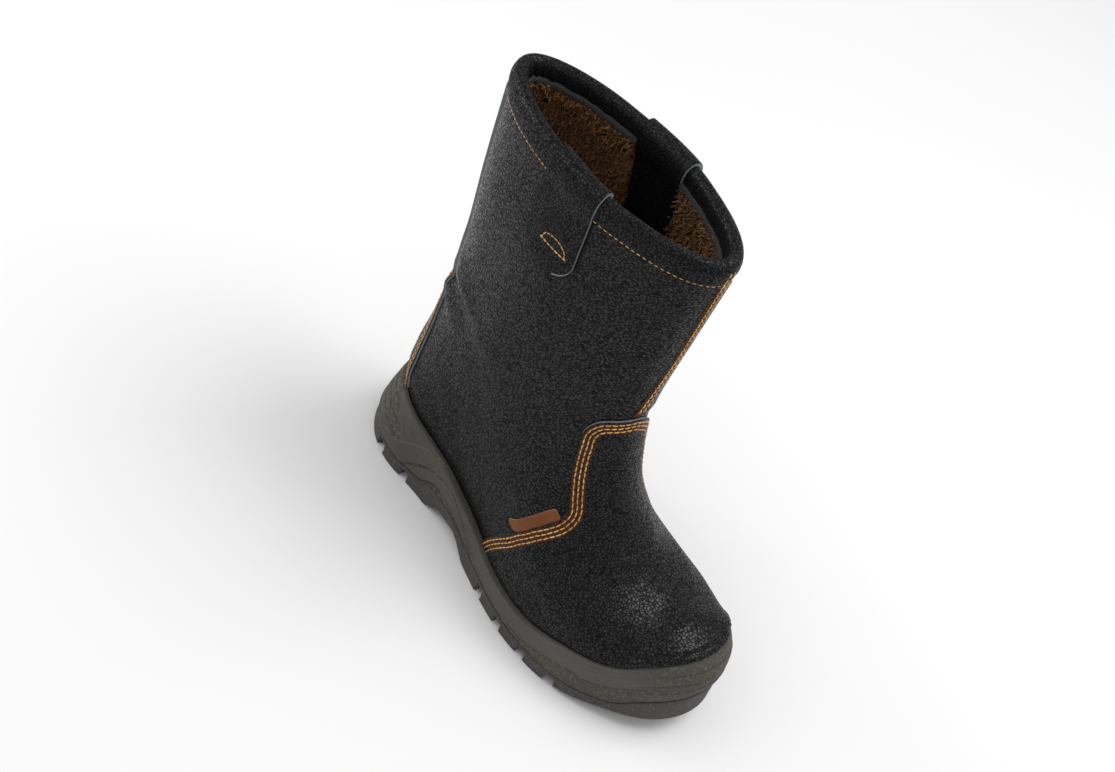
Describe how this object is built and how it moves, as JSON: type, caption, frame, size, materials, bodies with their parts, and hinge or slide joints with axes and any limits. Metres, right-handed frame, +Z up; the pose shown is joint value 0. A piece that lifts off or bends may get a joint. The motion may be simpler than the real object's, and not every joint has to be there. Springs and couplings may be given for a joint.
{
  "type": "winter safety boot",
  "caption": "Pull-on winter safety boot for the right foot: black leather shaft and vamp, padded collar with pull tabs, and a thick cleated sole.",
  "frame": {"origin": "middle of the boot's box, on the floor that the sole stands on", "axes": "+X forward to the toe, +Y to the wearer's left (the inner side of this right boot), +Z up"},
  "size_m": [0.3107, 0.1217, 0.297],
  "materials": {
    "leather": "pebbled black grain leather with a low sheen",
    "midsole": "matt moulded olive-grey foam",
    "outsole": "matt dark grey rubber",
    "insole": "brown felt",
    "label": "bare tan tag"
  },
  "bodies": {
    "root": {"outsole": "outsole", "midsole": "midsole", "insole": "insole", "upper": "leather", "collar": "leather", "vamp": "leather", "back_strip": "leather", "front_strip": "leather", "pull_tab_outer": "leather", "pull_tab_inner": "leather", "side_label": "label"}
  },
  "joints": []
}
